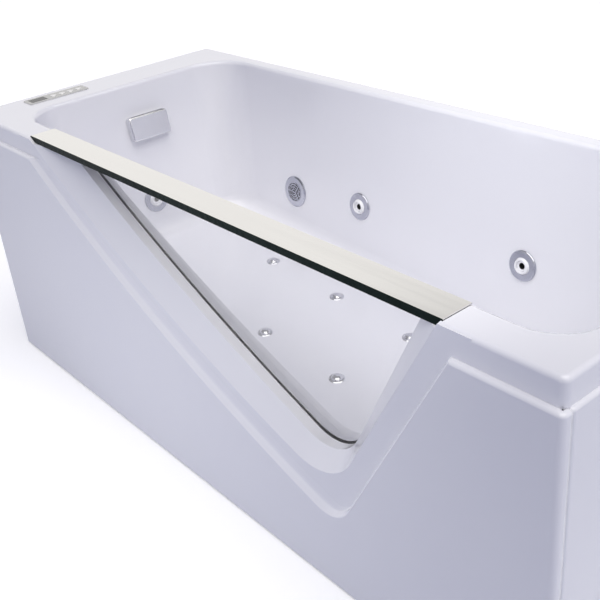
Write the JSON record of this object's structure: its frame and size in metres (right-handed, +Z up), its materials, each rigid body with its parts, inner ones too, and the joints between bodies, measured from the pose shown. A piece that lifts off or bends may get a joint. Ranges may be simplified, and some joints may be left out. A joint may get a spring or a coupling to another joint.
{
  "type": "acrylic massage bathtub",
  "caption": "White acrylic massage bathtub with a clear triangular side window, polished cap rail, panelled sides, wall jets, floor air jets and drain.",
  "frame": {"origin": "centre of the footprint at floor level", "axes": "+X along the tub toward the backrest end, +Y toward the wall side, +Z up; the window faces -Y"},
  "size_m": [1.7, 0.7, 0.6425],
  "materials": {
    "acrylic_white": "glossy white sanitary acrylic",
    "clear_glass": "clear toughened glass",
    "black_seal": "black rubber",
    "polished_steel": "polished stainless steel",
    "dark_edge": "glossy dark green-black",
    "chrome": "polished chrome",
    "satin_chrome": "satin chrome",
    "pearl_white": "glossy white plastic",
    "pvc_white": "plain white pipe plastic",
    "grey_hose": "grey pipe plastic",
    "black_plastic": "black moulded plastic",
    "motor_paint": "grey-blue enamel",
    "bright_steel": "bright steel",
    "dark_display": "dark glossy display",
    "box_grey": "light grey moulded box",
    "frame_paint": "grey painted steel tube",
    "pad_wood": "plain plywood"
  },
  "bodies": {
    "tub": {"tub_shell": "acrylic_white", "front_apron": "acrylic_white", "left_end_panel": "acrylic_white", "right_end_panel": "acrylic_white", "window_glass": "clear_glass", "window_seals": "black_seal", "window_cap": "polished_steel", "window_cap_edge": "dark_edge", "overflow_cover": "chrome", "overflow_body": "black_plastic", "overflow_pipe": "pvc_white", "drain_flange": "chrome", "drain_gasket": "black_seal", "drain_body": "pvc_white", "drain_outlet": "pvc_white", "suction_flange": "satin_chrome", "suction_grille": "satin_chrome", "suction_body": "pvc_white", "suction_pipe": "pvc_white", "water_manifold": "pvc_white", "fitting_nuts": "pvc_white", "air_jet_caps": "chrome", "air_jet_bodies": "pvc_white", "air_manifold": "grey_hose", "air_feed_pipe": "grey_hose", "blower_housing": "black_plastic", "blower_cover": "black_plastic", "pump_housing": "black_plastic", "pump_motor": "motor_paint", "pump_bearings": "bright_steel", "pump_base": "black_seal", "control_bezel": "bright_steel", "control_display": "dark_display", "control_module": "black_plastic", "control_box": "box_grey", "cable_gland": "black_plastic", "frame_rails": "frame_paint", "frame_uprights": "frame_paint", "support_pads": "pad_wood", "equipment_tray": "pad_wood", "feet": "bright_steel", "foot_lock_nuts": "bright_steel", "back_jet_left_body": "pvc_white", "back_jet_right_body": "pvc_white", "foot_jet_body": "pvc_white"},
    "back_jet_left_ring": {"back_jet_left_ring": "satin_chrome"},
    "back_jet_left_nozzle": {"back_jet_left_nozzle": "pearl_white"},
    "back_jet_right_ring": {"back_jet_right_ring": "satin_chrome"},
    "back_jet_right_nozzle": {"back_jet_right_nozzle": "pearl_white"},
    "foot_jet_ring": {"foot_jet_ring": "satin_chrome"},
    "foot_jet_nozzle": {"foot_jet_nozzle": "pearl_white"},
    "drain_plug": {"drain_plug": "chrome"},
    "control_button_1": {"control_button_1": "chrome"},
    "control_button_2": {"control_button_2": "chrome"},
    "control_button_3": {"control_button_3": "chrome"},
    "control_button_4": {"control_button_4": "chrome"},
    "pump_rotor": {"pump_shaft": "bright_steel", "pump_impeller": "black_plastic"},
    "blower_fan": {"blower_fan": "grey_hose"}
  },
  "joints": [
    {"name": "back_jet_left_turn", "type": "hinge", "parent": "tub", "child": "back_jet_left_ring", "pos_m": [-0.17, 0.2789, 0.367], "axis": [0, -0.9936, 0.1132], "range_deg": [0, 90]},
    {"name": "back_jet_left_tilt", "type": "hinge", "parent": "back_jet_left_ring", "child": "back_jet_left_nozzle", "pos_m": [-0.17, 0.28287, 0.36655], "axis": [1, 0, 0], "range_deg": [-10, 10]},
    {"name": "back_jet_right_turn", "type": "hinge", "parent": "tub", "child": "back_jet_right_ring", "pos_m": [0.31, 0.2789, 0.367], "axis": [0, -0.9936, 0.1132], "range_deg": [0, 90]},
    {"name": "back_jet_right_tilt", "type": "hinge", "parent": "back_jet_right_ring", "child": "back_jet_right_nozzle", "pos_m": [0.31, 0.28287, 0.36655], "axis": [1, 0, 0], "range_deg": [-10, 10]},
    {"name": "foot_jet_turn", "type": "hinge", "parent": "tub", "child": "foot_jet_ring", "pos_m": [-0.66005, 0.0145, 0.347], "axis": [0.9816, 0, 0.1908], "range_deg": [0, 90]},
    {"name": "foot_jet_tilt", "type": "hinge", "parent": "foot_jet_ring", "child": "foot_jet_nozzle", "pos_m": [-0.66397, 0.0145, 0.34624], "axis": [0, 1, 0], "range_deg": [-10, 10]},
    {"name": "drain_plug_lift", "type": "slide", "parent": "tub", "child": "drain_plug", "axis": [0.0698, 0, 0.9976], "range_m": [0, 0.01]},
    {"name": "control_button_1_press", "type": "slide", "parent": "tub", "child": "control_button_1", "axis": [0, 0, -1], "range_m": [0, 0.0012], "stiffness_N_per_m": 400},
    {"name": "control_button_2_press", "type": "slide", "parent": "tub", "child": "control_button_2", "axis": [0, 0, -1], "range_m": [0, 0.0012], "stiffness_N_per_m": 400},
    {"name": "control_button_3_press", "type": "slide", "parent": "tub", "child": "control_button_3", "axis": [0, 0, -1], "range_m": [0, 0.0012], "stiffness_N_per_m": 400},
    {"name": "control_button_4_press", "type": "slide", "parent": "tub", "child": "control_button_4", "axis": [0, 0, -1], "range_m": [0, 0.0012], "stiffness_N_per_m": 400},
    {"name": "pump_rotor_spin", "type": "hinge", "parent": "tub", "child": "pump_rotor", "pos_m": [0.69, 0.235, 0.134], "axis": [1, 0, 0], "continuous": true},
    {"name": "blower_fan_spin", "type": "hinge", "parent": "tub", "child": "blower_fan", "pos_m": [0.735, -0.102, 0.103], "axis": [0, 0, 1], "continuous": true}
  ]
}
